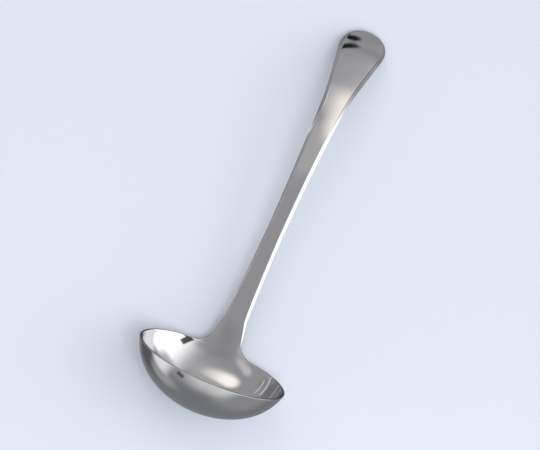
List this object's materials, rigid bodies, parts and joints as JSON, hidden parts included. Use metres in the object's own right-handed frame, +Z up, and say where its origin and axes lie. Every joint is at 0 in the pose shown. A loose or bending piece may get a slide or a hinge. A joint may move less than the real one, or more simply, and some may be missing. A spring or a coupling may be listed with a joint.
{
  "type": "soup ladle",
  "caption": "Polished stainless soup ladle: an oval drawn bowl welded at the neck to a long forged handle with bevelled edges, a waist and a rounded, back-curved tip.",
  "frame": {"origin": "centre of the ladle's footprint on the table it lies on, at the table's surface", "axes": "+Z up from the table, +Y along the ladle from the bowl to the handle's tip, +X to the side; the ladle is the same on both sides of X = 0"},
  "size_m": [0.0978, 0.2858, 0.0655],
  "materials": {
    "polished_bowl": "mirror polished stainless steel sheet",
    "weld_metal": "stainless weld bead dressed flush and polished",
    "polished_handle": "mirror polished forged stainless steel"
  },
  "bodies": {
    "root": {"bowl": "polished_bowl", "weld_seam": "weld_metal", "handle": "polished_handle"}
  },
  "joints": []
}
